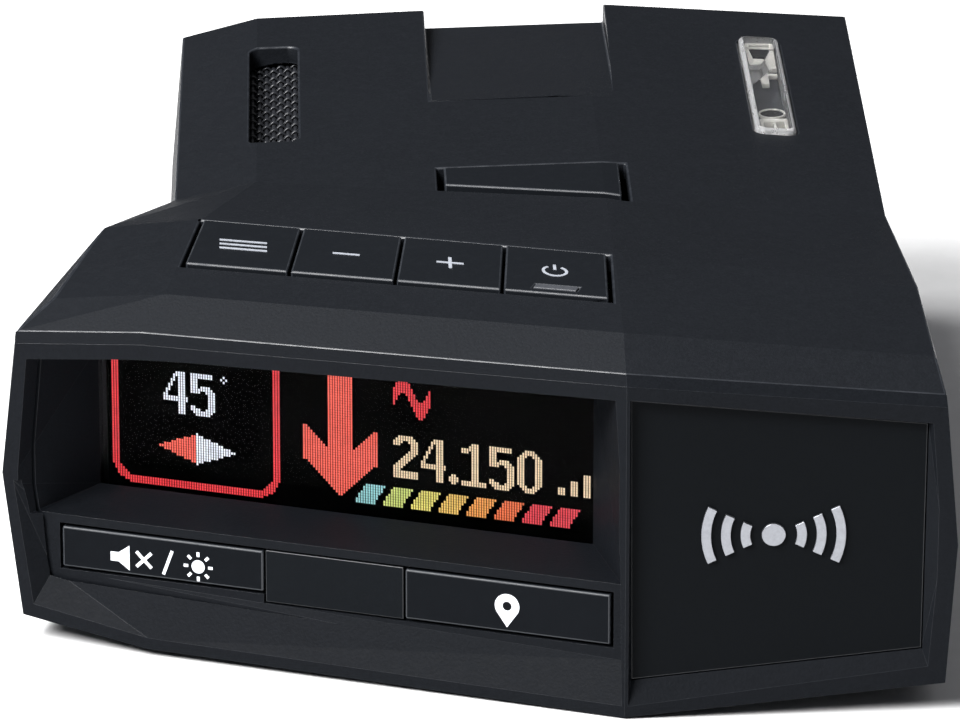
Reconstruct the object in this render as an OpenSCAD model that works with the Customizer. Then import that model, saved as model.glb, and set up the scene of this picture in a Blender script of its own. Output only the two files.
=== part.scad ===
// Radar detector with a driver's display, a key row, a latch for a windscreen bracket and side sockets.
// The part is drawn about the ridge line that runs back from the corner of the face: x = 0 on the ridge,
// y = 0 at the corner, z = 0 on the flat underside. Every module then moves to the centre of the base.

/* [Outer form] */
// From the ridge to the left tip of the head
head_left = 57.7; // [56.7:0.1:58.7]
// From the ridge to the right tip of the head
head_right = 30.5; // [29.8:0.1:31.5]
// From the corner of the face to the windscreen end
body_length = 113.4; // [112:0.1:120]
// From the ridge to the body's left flank
body_left = 42.8; // [42.2:0.1:43.4]
// From the ridge to the body's right flank
body_right = 28.7; // [28.2:0.1:29.2]
// Height of the seam between the two covers
seam = 16.6; // [15.5:0.1:17.5]
// Angle by which the display side of the face turns away from square
skew = 20.4; // [19:0.1:21]
// Thickness of the covers
wall = 1.8; // [1.4:0.1:2]
// Depth of the bezel's lip in front of the covers
lip = 1.6; // [1.2:0.1:2]

/* [Face] */
// Depth of the display window behind the face
window_depth = 9; // [7:0.5:10]
// Height of the display window's lower edge
window_sill = 13.1; // [12.8:0.1:13.6]
// Depth of the strip that holds the face keys
strip_depth = 1.8; // [1.5:0.1:2.2]
// Depth of the right-hand trim panel
panel_depth = 1.2; // [0.8:0.1:1.6]

/* [Keys] */
// Travel of the four top keys
top_key_travel = 0.6; // [0.4:0.1:0.8]
// Travel of the two face keys
face_key_travel = 0.6; // [0.4:0.1:0.7]
// Travel of the bracket release
release_travel = 1.5; // [1:0.1:1.7]
// Gap round each key
key_gap = 0.3; // [0.2:0.05:0.4]
// How far the top keys stand above the cover
key_proud = 0.25; // [0.1:0.05:0.4]

/* [Sockets] */
// Radius of the audio socket's bore
audio_r = 1.8; // [1.75:0.05:1.85]
// Width of the bracket slot
slot_width = 18.6; // [18:0.1:19]
// Height of the bracket slot
slot_height = 4.8; // [4.6:0.1:5]

/* [Hidden] */
round_fn = 48;
hair = 0.05;
cut = 1;

// ---- heights of the top cover along the ridge, from the face back to the windscreen end
brow_front = 32.5;
// ---- outline points, each [x, y, z]; the four points of a line run from the left edge to the right edge
lip_rise = 0.62;
// both sides of the face stand upright: the display side turns away by the skew, the other hardly at all
right_lean = 0.012;
function face_y(x) = x < 0 ? -x * tan(skew) : x * right_lean;
function on_outline(points) = [for (p = points) [p[0], face_y(p[0]), p[1]]];
face_top = on_outline([[-56.2, 29.7], [-44.4, 31], [0, brow_front], [29.3, 30.1]]);
face_base = on_outline([[-56, 2.5], [-44.3, 0.6], [0, 0], [29.6, 3]]);
brow_line = [[-52.7, 27.1, 32], [-42.2, 22.7, 33.8], [0, 7, 35.2], [28.7, 6.8, 32.7]];
crest_line = [[-48.4, 44.8, 32.8], [-38.9, 41.3, 34.8], [0, 27, 36.1], [28.3, 22.6, 33.8]];
deck_front_line = [[-41.7, 56.1, 31.7], [-33.7, 55.6, 33.7], [0, 46, 34.8], [27.1, 47.3, 32.6]];
deck_rear_line = [[-41.5, body_length - 2.4, 31], [-33.7, body_length - 2.5, 33.1],
    [0, body_length - 1.6, 34.2], [27.8, body_length - 1.6, 32.5]];
head_seam = on_outline([[-head_left, seam], [-44.4, seam], [0, seam], [head_right, seam]]);
shoulder_seam = [[-49.8, 46.5, seam], [-body_left, 57.5, seam], [body_right, 47.5, seam], [29.4, 23, seam]];
rear_seam = [[-body_left, body_length - 1.6, seam], [-33.7, body_length - 1.1, seam],
    [0, body_length, seam], [body_right, body_length - 0.8, seam]];
shoulder_base = [[-48.5, 45.5, 1.8], [-41.3, 57, 0], [27.4, 47.5, 0], [28.6, 24, 1],
    [-40, 30, 0], [24, 8, 0]];
rear_base = [[-41.2, body_length - 3, 0], [0, body_length - 1.4, 0], [27.6, body_length - 2.2, 0]];
// points buried in the head, so that head and body overlap
root_top = [[-36, 46, seam], [22, 38, seam], [-30, 48, 30], [18, 38, 30]];
root_base = [[-36, 46, seam], [22, 38, seam], [-36, 46, 2], [22, 38, 2]];

// cover thickness right behind the lip, and the points of the cavity
lip_wall = 1;
function back(points, rise = 0) = [for (p = points) p + [0, lip, rise]];
head_top = concat(back(face_top, lip_rise), brow_line, crest_line, deck_front_line, back(head_seam),
    shoulder_seam);
body_top = concat(deck_front_line, deck_rear_line, rear_seam, root_top,
    [shoulder_seam[1], shoulder_seam[2]]);
head_base = concat(back(face_base), back(head_seam), shoulder_seam, shoulder_base);
body_base = concat(rear_seam, rear_base, root_base, [shoulder_seam[1], shoulder_seam[2]],
    [shoulder_base[1], shoulder_base[2]]);

// the same point moved inwards by the wall thickness; open pushes it out through the face
function inner_x(x, w) = x < -20 ? x + w : x > 15 ? x - w : x;
function inner_y(y, w) = y > 100 ? y - w : y;
function inner_z(z, w) = z > seam ? z - w : z < seam ? z + w : z;
function inner(points, w = wall, open = 0) =
    [for (p = points) [inner_x(p[0], w), inner_y(p[1], w) - open, inner_z(p[2], w)]];
face_open = 2 * lip;
head_top_cavity = concat(inner(back(face_top, lip_rise), lip_wall, face_open), inner(brow_line),
    inner(crest_line), inner(deck_front_line), inner(back(head_seam), lip_wall, face_open),
    inner(shoulder_seam));
head_base_cavity = concat(inner(back(face_base), lip_wall, face_open), inner(shoulder_base),
    inner(back(head_seam), lip_wall, face_open), inner(shoulder_seam));
function over_seam(points, d) = [for (p = points) p[2] == seam ? p + [0, 0, d] : p];

// ---- face, in the display side's own axes: x along the face, y into the body
strip_top = 12.4;
strip_base_left = 6.7;
strip_base_right = 4.9;
window_left = -55.2;
window_right = -6.1;
window_top = 29.6;
window_thick = 1.2;
face_keys_top = 11.25;
mute_span = [-56.3, -36.1];
insert_span = [-35.8, -22.35];
mark_span = [-22.05, -2.0];
strip_wall = 1.8;
key_body = 2.4;
face_flange = 0.9;
face_switch_height = 1.6;

// ---- top keys: the row's front and rear edges, from left to right
row_front = [[-40.5, 29.6], [-0.9, 14.9]];
row_rear = [[-38.8, 40.7], [-0.7, 26.1]];
key_count = 4;
key_depth = 4.2;
switch_height = 1.7;
key_board_top = 27;
key_board_pegs = [[-31, 42.3], [-9.5, 33.4]];
key_stem_top = 31.4;

// ---- bracket notch, slot and release
notch_left = -16.3;
notch_right = 2.4;
notch_front = 79.5;
notch_floor = 31.7;
notch_rise = 2.5;
notch_roll = 1.3;
slot_centre = (notch_left + notch_right) / 2;
slot_front = 86;
slot_floor = notch_floor - wall - slot_height;
release_outline = [[-15.4, 52.2], [1.6, 47.4], [1.7, 57.4], [-15.4, 57.4]];
release_hole = [[-16.1, 50.9], [2.4, 46.1], [2.4, 57.9], [-16.1, 57.9]];

// ---- grille and lens in the deck
grille_x = -32;
grille_width = 4.9;
grille_front = 68.3;
grille_rear = 100.2;
lens_x = 18;
lens_width = 4.1;
lens_front = 70.2;
lens_rear = 101.4;
slot_corner = 1.1;

// ---- inside
board_left = -37.5;
board_right = 23.5;
board_front = 39;
board_rear = 106;
board_z = 10.4;
board_thick = 1.6;
board_top = board_z + board_thick;
board_posts = [[-34, 52], [-34, 97], [19, 48], [6.5, 102]];
case_posts = [[-43, 46.5], [-38, 106], [23.6, 101], [23.5, 34]];
post_top = 31.3;
post_r = 2.6;
screw_r = 1.1;
head_r = 2.2;
speaker_r = 9.6;
speaker_at = [-29.4, 84, 29.2];

// ---- sockets in the right flank, by their centres [y, z]
socket_floor = board_top;
power_at = [64, socket_floor + 5.8];
audio_at = [79, socket_floor + 3.4];
usb_at = [90, socket_floor + 2];
power_hole = [9.8, 7];
usb_hole = [7.2, 2.2];
socket_face = body_right - wall - 0.6;

centre = [(head_right - head_left) / 2, body_length / 2, 0];

module placed() {
    translate(-centre) children();
}

module solid_of(points) {
    hull() polyhedron(points = points, faces = [[for (i = [0 : len(points) - 1]) i]]);
}

// Axes of the display side of the face
module on_face() {
    rotate([0, 0, -skew]) children();
}

module box(low, high) {
    translate(low) cube(high - low);
}

// Upright block along Y with rounded corners
module slot_block(x, front, rear, width, low, high) {
    half = width / 2;
    for (side = [-1, 1], y = [front + slot_corner, rear - slot_corner])
        translate([x + side * (half - slot_corner), y, low])
            cylinder(r = slot_corner, h = high - low, $fn = round_fn);
    box([x - half, front + slot_corner, low], [x + half, rear - slot_corner, high]);
    box([x - half + slot_corner, front, low], [x + half - slot_corner, rear, high]);
}

module rod(at, r, length) {
    translate(at) cylinder(r = r, h = length, $fn = round_fn);
}

function mix(a, b, t) = a + (b - a) * t;
function row_point(along, across) = mix(mix(row_front[0], row_front[1], along),
    mix(row_rear[0], row_rear[1], along), across);

// Key outline between two fractions of the row, widened along the row and across it
module key_outline(from, to, grow_along, grow_across) {
    along = grow_along / 41;
    across = grow_across / 11.3;
    polygon([row_point(from - along, -across), row_point(to + along, -across),
        row_point(to + along, 1 + across), row_point(from - along, 1 + across)]);
}

// ==== casing ====

module flank_holes() {
    box([socket_face - cut, power_at[0] - power_hole[0] / 2 - 0.4, power_at[1] - power_hole[1] / 2 - 0.4],
        [body_right + cut, power_at[0] + power_hole[0] / 2 + 0.4, power_at[1] + power_hole[1] / 2 + 0.4]);
    translate([socket_face - cut, audio_at[0], audio_at[1]])
        rotate([0, 90, 0]) cylinder(r = 3, h = wall + 3 * cut, $fn = round_fn);
    box([socket_face - cut, usb_at[0] - usb_hole[0] / 2 - 0.6, usb_at[1] - usb_hole[1] / 2 - 0.6],
        [body_right + cut, usb_at[0] + usb_hole[0] / 2 + 0.6, usb_at[1] + usb_hole[1] / 2 + 0.6]);
}

// Notch for the bracket: its floor climbs to the deck at its front end
module notch() {
    intersection() {
        box([notch_left, notch_front, 25], [notch_right, body_length + cut, 40]);
        translate([slot_centre, body_length, notch_floor])
            rotate([-atan(notch_rise / (body_length - notch_front)), -notch_roll, 0])
            box([-slot_width, -50, 0], [slot_width, 5, 20]);
    }
}

module top_cover() placed() color([0.13, 0.14, 0.16]) difference() {
    union() {
        difference() {
            union() {
                solid_of(head_top);
                solid_of(body_top);
            }
            solid_of(over_seam(head_top_cavity, -hair));
            solid_of(over_seam(inner(body_top), -hair));
        }
        box([notch_left - wall, notch_front - 2, notch_floor - wall],
            [notch_right + wall, body_length - 2, notch_floor + 1]);
        for (p = case_posts) rod([p[0], p[1], seam], post_r, post_top - seam);
        for (p = key_board_pegs) rod([p[0], p[1], key_board_top], 1.2, 7.2);
    }
    notch();
    translate([0, 0, seam + 5]) linear_extrude(height = 20) key_outline(0, 1, key_gap, key_gap);
    translate([0, 0, 25]) linear_extrude(height = 15) polygon(release_hole);
    slot_block(grille_x, grille_front, grille_rear, grille_width, 25, 40);
    slot_block(lens_x, lens_front - 0.1, lens_rear + 0.1, lens_width + 0.2, 25, 40);
    box([slot_centre - slot_width / 2, slot_front, slot_floor],
        [slot_centre + slot_width / 2, body_length + cut, slot_floor + slot_height]);
    box([6, body_length - 6, 19.5], [24, body_length + cut, 28.5]);
    flank_holes();
    for (p = case_posts) rod([p[0], p[1], seam - cut], screw_r, 10);
}

module bottom_cover() placed() color([0.12, 0.13, 0.15]) difference() {
    union() {
        difference() {
            union() {
                solid_of(head_base);
                solid_of(body_base);
            }
            solid_of(over_seam(head_base_cavity, hair));
            solid_of(over_seam(inner(body_base), hair));
        }
        for (p = case_posts) rod([p[0], p[1], 0.2], post_r + 0.6, seam - 0.2);
        for (p = board_posts) rod([p[0], p[1], 1], post_r, board_z - 1);
    }
    for (p = case_posts) {
        rod([p[0], p[1], -cut], head_r + 0.15, 4 + cut);
        rod([p[0], p[1], -cut], screw_r + 0.2, seam + 2 * cut);
    }
    for (p = board_posts) rod([p[0], p[1], 3], screw_r, board_z);
    box([-24, 62, -cut], [10, 92, 0.5]);
    flank_holes();
}

// ==== face ====

module display_recess() {
    solid_of([[-59.3, -cut, 28.4], [-46.8, -cut, 29.8], [-0.5, -cut, 31.2], [-0.5, -cut, strip_top],
        [-60, -cut, strip_top], [-60.5, -cut, 16], [-58.4, strip_depth, strip_top],
        [-0.9, strip_depth, strip_top], [window_left, window_depth, window_sill],
        [window_right, window_depth, window_sill], [window_left, window_depth, 27],
        [window_right, window_depth, window_top]]);
}

// The mouth of a pocket, given as [x, z] points, carried a little way out in front of the face
function mouth(points) = [for (p = points, depth = [-cut, -hair]) [p[0], depth, p[1]]];

module strip_pocket() {
    inner_top = strip_depth - 0.6;
    solid_of(concat(mouth([[-58.7, 3.6], [-46.9, 1.6], [-0.3, 1], [-60.5, 16], [-0.5, 16]]),
        [[-57.3, strip_depth, strip_base_left], [-0.9, strip_depth, strip_base_right],
            [-57.8, strip_depth, strip_top + 0.3], [-0.9, strip_depth, strip_top + 0.3],
            [-58.2, inner_top, 16], [-0.9, inner_top, 16]]));
}

module panel_pocket() {
    solid_of(concat(mouth([[0.3, 1], [28.2, 4], [29.2, 16.4], [28.2, 28.7], [0.3, 31.2]]),
        [for (p = panel_corners) [p[0], panel_depth, p[1]]]));
}

panel_corners = [[0.6, 3.3], [27.4, 6.2], [27.6, 28.3], [0.4, 30.8]];

module panel_plate(grow, low, high) {
    middle = [14, 17];
    translate([0, high, 0]) rotate([90, 0, 0]) linear_extrude(height = high - low)
        polygon([for (p = panel_corners) p + grow * [sign(p[0] - middle[0]), sign(p[1] - middle[1])]]);
}

module face_key_hole(span, grow) {
    box([span[0] - grow, -cut, face_key_base(span) - grow], [span[1] + grow, 6, face_keys_top + grow]);
}

// The strip narrows towards the left, and so do its keys
function face_key_base(span) = span[0] < -40 ? 7.2 : 6.3;

// the tray behind the lip: clear of the covers at its front, and narrower at its back
tray_gap = 0.1;
tray_depth = 12;
tray_taper = 0.92;
// the covers draw in behind the lip, so the tray starts further in at its sides
tray_side = 1.1;
function tucked(p, inset) = [inner_x(p[0], inset + tray_side), p[1] + lip - 0.4, inner_z(p[2], inset)];
tray_front = [for (p = concat(face_top, face_base, head_seam)) tucked(p, lip_wall + tray_gap)];
tray_rear = [for (p = concat(face_top, face_base, head_seam))
    let (q = tucked(p, wall + 2 * tray_gap)) [q[0] * tray_taper, q[1] + tray_depth, q[2]]];

// The lip along some of the points of the face's outline: one flat slab for each side of the corner
module lip_slab(side) {
    function some(points) = [for (i = side) points[i]];
    solid_of(concat(some(face_top), some(face_base), some(head_seam), some(back(face_top, lip_rise)),
        some(back(face_base)), some(back(head_seam))));
}

module front_bezel() placed() color([0.12, 0.13, 0.15]) difference() {
    union() {
        for (side = [[0, 1, 2], [2, 3]]) lip_slab(side);
        difference() {
            solid_of(concat(tray_front, tray_rear));
            // hollow behind the trim panel
            box([2.5, 4.5, 5], [25.5, 30, 26.5]);
            // hollow behind the strip
            on_face() box([-56.5, strip_depth + strip_wall, 4.4], [-1.5, 30, 11.5]);
        }
    }
    on_face() {
        display_recess();
        strip_pocket();
        box([window_left - 0.4, window_depth - hair, 11.9], [window_right + 0.4, 40, 29]);
        for (span = [mute_span, insert_span, mark_span]) face_key_hole(span, key_gap);
    }
    panel_pocket();
    panel_plate(0.1, panel_depth - hair, panel_depth + 1.3);
}

module trim_panel() placed() color([0.08, 0.09, 0.1])
    panel_plate(0, panel_depth, panel_depth + 1.2);

// Raised badge: a dot with two arcs on each side
module emblem() placed() color([0.62, 0.64, 0.68]) translate([13.6, panel_depth, 17.6]) rotate([90, 0, 0])
    linear_extrude(height = 0.35) {
        circle(r = 1.1, $fn = round_fn);
        for (side = [0, 180], r = [2.6, 4.4, 6.2])
            rotate([0, 0, side]) intersection() {
                difference() {
                    circle(r = r + 0.45, $fn = round_fn);
                    circle(r = r - 0.45, $fn = round_fn);
                }
                polygon([[0, 0], [9, -4.2], [9, 4.2]]);
            }
    }

module display_window() placed() color([0.05, 0.05, 0.06, 0.6]) on_face()
    box([window_left - 0.2, window_depth, 12.1], [window_right + 0.2, window_depth + window_thick, 28.8]);

module display_panel() placed() color([0.03, 0.03, 0.04]) on_face()
    box([window_left + 0.3, window_depth + window_thick + 0.1, 12.4],
        [window_right - 0.3, window_depth + window_thick + 1.7, 28.6]);

module display_frame() placed() color([0.7, 0.7, 0.72]) on_face() difference() {
    box([window_left - 0.2, window_depth + window_thick + 0.1, 12],
        [window_right + 0.2, window_depth + 4.4, 28.9]);
    box([window_left + 0.2, window_depth, 12.3],
        [window_right - 0.2, window_depth + window_thick + 1.8, 28.7]);
    box([window_left + 3, window_depth, 15], [window_right - 3, window_depth + 10, 26]);
}

module display_ribbon() placed() color([0.8, 0.5, 0.15]) on_face() {
    box([-38, window_depth + 3.2, 16.4], [-24, window_depth + 8, 16.6]);
    box([-38, window_depth + 7.8, 12.6], [-24, window_depth + 8, 16.6]);
    box([-38, window_depth + 7.8, 12.4], [-24, window_depth + 24, 12.6]);
}

// ==== top keys ====

// Everything below the cover's outer surface, moved up or down
module under_head(lift) {
    translate([0, 0, lift]) solid_of(head_top);
}

module top_key(index) {
    from = index / key_count;
    to = (index + 1) / key_count;
    trim = -key_gap / 2;
    difference() {
        union() {
            intersection() {
                translate([0, 0, seam + 1]) linear_extrude(height = 30) key_outline(from, to, trim, trim);
                under_head(key_proud);
            }
            // flange that keeps the key in the cover
            intersection() {
                translate([0, 0, seam + 1]) linear_extrude(height = 30) key_outline(from, to, trim, 0.9);
                under_head(-wall - 0.3);
            }
        }
        under_head(-key_depth);
    }
    stem = row_point((from + to) / 2, 0.5);
    rod([stem[0], stem[1], key_board_top + switch_height + top_key_travel + 0.1], 1.3,
        key_stem_top - key_board_top - switch_height - top_key_travel - 0.1);
}

module menu_key() placed() color([0.15, 0.16, 0.18]) top_key(0);
module minus_key() placed() color([0.15, 0.16, 0.18]) top_key(1);
module plus_key() placed() color([0.15, 0.16, 0.18]) top_key(2);

light_pipe_at = row_point(0.875, 0.14);

module power_key() placed() color([0.15, 0.16, 0.18]) difference() {
    top_key(3);
    translate([light_pipe_at[0], light_pipe_at[1], 30]) rotate([0, 0, -skew])
        box([-2.15, -0.5, 0], [2.15, 0.5, 8]);
}

module power_light_pipe() placed() color([0.85, 0.87, 0.9]) intersection() {
    translate([light_pipe_at[0], light_pipe_at[1], 31.8]) rotate([0, 0, -skew])
        box([-2.1, -0.45, 0], [2.1, 0.45, 8]);
    under_head(key_proud + 0.05);
}

module tact_switch(at) {
    translate(at) {
        box([-2.25, -2.25, 0], [2.25, 2.25, 1.1]);
        rod([0, 0, 1.1], 1, switch_height - 1.1);
    }
}

module top_key_switches() placed() color([0.75, 0.75, 0.7])
    for (i = [0 : key_count - 1])
        tact_switch([row_point((i + 0.5) / key_count, 0.5)[0], row_point((i + 0.5) / key_count, 0.5)[1],
            key_board_top]);

module top_key_board() placed() color([0.08, 0.3, 0.16])
    translate([0, 0, key_board_top - 1.2]) linear_extrude(height = 1.2)
        polygon([[-37, 34], [-3, 21.5], [-1, 30], [-8, 36], [-29, 44.5], [-37, 44.5]]);

// ==== face keys ====

module face_key(span) {
    on_face() {
        box([span[0], strip_depth - 0.1, face_key_base(span)],
            [span[1], strip_depth + key_body, face_keys_top]);
        // flange that keeps the key behind the strip
        box([span[0] + 1, strip_depth + strip_wall + 0.1, face_key_base(span) - 0.9],
            [span[1] - 1, strip_depth + strip_wall + 0.1 + face_flange, face_keys_top - 0.6]);
    }
}

module mute_key() placed() color([0.14, 0.15, 0.17]) face_key(mute_span);
module mark_key() placed() color([0.14, 0.15, 0.17]) face_key(mark_span);

module centre_insert() placed() color([0.13, 0.14, 0.16]) on_face()
    box([insert_span[0] - 0.1, strip_depth, face_key_base(insert_span) - 0.1],
        [insert_span[1] + 0.1, strip_depth + 3.4, face_keys_top + 0.1]);

face_board_depth = strip_depth + strip_wall + face_flange + face_key_travel + face_switch_height + 0.2;

module face_key_switches() placed() color([0.75, 0.75, 0.7]) on_face()
    for (span = [mute_span, mark_span])
        translate([(span[0] + span[1]) / 2, face_board_depth, 8.6]) rotate([90, 0, 0]) {
            box([-2.25, -1.6, 0], [2.25, 1.6, 1]);
            rod([0, 0, 1], 0.9, face_switch_height - 1);
        }

module face_key_board() placed() color([0.08, 0.3, 0.16]) on_face()
    box([-54, face_board_depth, 5.4], [-4, face_board_depth + 1, 10.8]);

// ==== bracket latch ====

latch_base = slot_floor - 3.4;
latch_thick = 1.4;
tooth_top = slot_floor + release_travel - 0.2;
spring_base = board_top + 3.4;

module release_button() placed() color([0.14, 0.15, 0.17]) intersection() {
    translate([0, 0, 27.5]) linear_extrude(height = 12) polygon(release_outline);
    translate([0, 0, 0.15]) solid_of(body_top);
}

module release_latch() placed() color([0.82, 0.82, 0.8]) {
    box([slot_centre - 5, 50, latch_base], [slot_centre + 5, 91, latch_base + latch_thick]);
    box([slot_centre - 5, 51.6, latch_base], [slot_centre + 5, 56, 27.5]);
    // tooth that catches the bracket's tongue: its slope faces the windscreen end
    translate([slot_centre - 3, 0, 0]) rotate([90, 0, 90]) linear_extrude(height = 6)
        polygon([[87.2, latch_base], [91, latch_base], [91, tooth_top - 1.8], [87.2, tooth_top]]);
}

// Return spring of the latch, drawn as closed coils
module release_spring() placed() color([0.7, 0.72, 0.75]) {
    turns = 6;
    wire = 0.3;
    pitch = (latch_base - spring_base - 2 * wire) / (turns - 1);
    for (i = [0 : turns - 1])
        translate([slot_centre, 70, spring_base + wire + i * pitch])
            rotate_extrude($fn = round_fn) translate([2.4, 0]) circle(r = wire, $fn = 16);
}

module bracket_guide() placed() color([0.12, 0.13, 0.15]) difference() {
    box([slot_centre - slot_width / 2 - wall, slot_front - wall, slot_floor - wall],
        [slot_centre + slot_width / 2 + wall, body_length - 4.4, notch_floor - wall]);
    box([slot_centre - slot_width / 2, slot_front, slot_floor],
        [slot_centre + slot_width / 2, body_length + cut, notch_floor]);
    box([slot_centre - 3.6, slot_front + 0.8, slot_floor - wall - cut],
        [slot_centre + 3.6, slot_front + 5.6, slot_floor + cut]);
}

// ==== sound ====

// The hollow of the deck, lowered by a step
module cavity_below(step) {
    translate([0, 0, -step]) solid_of(inner(body_top));
}

module speaker_grille() placed() color([0.18, 0.19, 0.21]) difference() {
    intersection() {
        slot_block(grille_x, grille_front - 0.8, grille_rear + 0.8, grille_width + 1.6, 28, 36);
        cavity_below(hair);
    }
    cavity_below(0.75);
    pitch = 1.2;
    for (row = [0 : 24], column = [-1.5 : 1.5])
        translate([grille_x + (column + (row % 2) / 2 - 0.25) * pitch, grille_front + 1.6 + row * pitch, 28])
            cylinder(r = 0.38, h = 8, $fn = 16);
}

module speaker_frame() placed() color([0.3, 0.3, 0.32]) translate(speaker_at) difference() {
    union() {
        rod([0, 0, -1.2], speaker_r, 1.2);
        translate([0, 0, -4.4]) cylinder(r1 = 6.4, r2 = speaker_r - 0.6, h = 3.3, $fn = round_fn);
    }
    translate([0, 0, -3.6]) cylinder(r1 = 5.4, r2 = speaker_r - 1.2, h = 4, $fn = round_fn);
    rod([0, 0, -5], 4, 3);
}

module speaker_cone() placed() color([0.1, 0.1, 0.11]) translate(speaker_at) {
    difference() {
        translate([0, 0, -3.2]) cylinder(r1 = 4.6, r2 = speaker_r - 1.7, h = 3, $fn = round_fn);
        translate([0, 0, -2.8]) cylinder(r1 = 4.4, r2 = speaker_r - 1.9, h = 3, $fn = round_fn);
    }
}

module speaker_magnet() placed() color([0.5, 0.5, 0.52]) translate(speaker_at)
    rod([0, 0, -7.4], 6.2, 3);

module status_buzzer() placed() color([0.08, 0.08, 0.09]) difference() {
    rod([-26, 54, board_top], 4.5, 5);
    rod([-26, 54, board_top + 3], 1, 5);
}

// ==== optics ====

module top_laser_lens() placed() color([0.8, 0.82, 0.85, 0.5]) intersection() {
    slot_block(lens_x, lens_front, lens_rear, lens_width, 29.6, 40);
    translate([0, 0, 0.5]) solid_of(body_top);
}

module top_laser_sensor() placed() color([0.1, 0.1, 0.12]) {
    box([lens_x - 2, 82, 26.4], [lens_x + 2, 88, 28.9]);
    box([lens_x - 4, 78, 25.2], [lens_x + 4, 92, 26.4]);
    for (y = [79, 91]) box([lens_x - 3.9, y - 0.5, board_top], [lens_x - 3, y + 0.5, 25.2]);
}

module front_laser_lens() placed() color([0.2, 0.05, 0.06, 0.6])
    box([6.15, body_length - 4.4, 19.65], [23.85, body_length - 2.4, 28.35]);

module front_laser_sensor() placed() color([0.1, 0.1, 0.12]) {
    rod([15, 104, board_top], 2.4, 6);
    translate([15, 104, board_top + 9]) rotate([-90, 0, 0]) cylinder(r = 3, h = 3, $fn = round_fn);
    box([12, 101.6, board_top + 5.9], [18, 104.1, board_top + 12]);
}

// ==== electronics ====

module main_board() placed() color([0.07, 0.32, 0.17]) difference() {
    box([board_left, board_front, board_z], [board_right, board_rear, board_top]);
    for (p = board_posts) rod([p[0], p[1], board_z - cut], 1.3, 4);
    for (p = case_posts) rod([p[0], p[1], board_z - cut], post_r + 0.9, 4);
    rod([slot_centre, 70, board_z - cut], 0.8, 4);
}

module board_chips() placed() color([0.06, 0.06, 0.07]) {
    box([-30, 60, board_top], [-20, 70, board_top + 1.2]);
    box([-31, 88, board_top], [-22, 96, board_top + 1]);
    box([-28, 76, board_top], [-24, 80, board_top + 0.8]);
    box([6, 48, board_top], [12, 52, board_top + 1]);
    for (x = [-34, -18]) box([x - 0.8, 82, board_top], [x + 0.8, 84, board_top + 1.4]);
}

module rf_shield() placed() color([0.75, 0.76, 0.78]) difference() {
    box([-15, 60, board_top], [2, 76, board_top + 3.4]);
    box([-14.7, 60.3, board_top - cut], [1.7, 75.7, board_top + 3.1]);
    for (x = [-12 : 4 : 0], y = [64 : 4 : 72]) rod([x, y, board_top + 2], 0.6, 3);
}

// Waveguide horn: a tapering box with an open mouth
module horn(throat_y, mouth_y, floor_z) {
    half = 9.5;
    skin = 0.8;
    away = sign(mouth_y - throat_y);
    difference() {
        solid_of([for (x = [-1, 1], z = [0, 1], end = [0, 1])
            [slot_centre + x * (end == 1 ? half : 4), end == 1 ? mouth_y : throat_y,
                floor_z + z * (end == 1 ? 7.6 : 5)]]);
        solid_of([for (x = [-1, 1], z = [0, 1], end = [0, 1])
            [slot_centre + x * (end == 1 ? half - skin : 3.2),
                end == 1 ? mouth_y + away * hair : throat_y + away * skin,
                floor_z + (z == 1 ? (end == 1 ? 7.6 - skin : 5 - skin) : skin)]]);
    }
}

module front_horn() placed() color([0.72, 0.72, 0.74]) horn(78, 104, board_top);
module rear_horn() placed() color([0.72, 0.72, 0.74]) horn(58, 42, board_top);

module gps_antenna() placed() color([0.75, 0.7, 0.58]) {
    box([3.4, 79, board_top], [13.4, 89, board_top + 3.6]);
    box([4.4, 80, board_top + 3.6], [12.4, 88, board_top + 3.8]);
    rod([8.4, 84, board_top + 3.8], 0.7, 0.6);
}

module power_socket() placed() color([0.05, 0.05, 0.06]) difference() {
    box([socket_face - 12, power_at[0] - 6.2, socket_floor],
        [socket_face, power_at[0] + 6.2, power_at[1] + 5]);
    box([socket_face - 10.5, power_at[0] - power_hole[0] / 2, power_at[1] - power_hole[1] / 2],
        [socket_face + cut, power_at[0] + power_hole[0] / 2, power_at[1] + power_hole[1] / 2]);
    box([socket_face - 8, power_at[0] - 1.7, power_at[1] + power_hole[1] / 2 - hair],
        [socket_face + cut, power_at[0] + 1.7, power_at[1] + power_hole[1] / 2 + 1]);
}

module audio_socket() placed() color([0.05, 0.05, 0.06]) difference() {
    union() {
        box([socket_face - 11, audio_at[0] - 3.2, socket_floor],
            [socket_face, audio_at[0] + 3.2, audio_at[1] + 2.9]);
        translate([socket_face - hair, audio_at[0], audio_at[1]]) rotate([0, 90, 0])
            cylinder(r = 2.7, h = 1 + hair, $fn = round_fn);
    }
    translate([socket_face - 9.5, audio_at[0], audio_at[1]]) rotate([0, 90, 0])
        cylinder(r = audio_r, h = 12, $fn = round_fn);
}

module usb_socket() placed() color([0.72, 0.73, 0.75]) difference() {
    box([socket_face - 5.2, usb_at[0] - usb_hole[0] / 2 - 0.4, socket_floor],
        [socket_face, usb_at[0] + usb_hole[0] / 2 + 0.4, usb_at[1] + usb_hole[1] / 2 + 0.4]);
    box([socket_face - 4.6, usb_at[0] - usb_hole[0] / 2, usb_at[1] - usb_hole[1] / 2],
        [socket_face + cut, usb_at[0] + usb_hole[0] / 2, usb_at[1] + usb_hole[1] / 2]);
}

// ==== fasteners and label ====

module board_screws() placed() color([0.7, 0.7, 0.72])
    for (p = board_posts) {
        rod([p[0], p[1], board_top], 2, 1.2);
        rod([p[0], p[1], 4], screw_r - hair, board_top - 4);
    }

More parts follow.
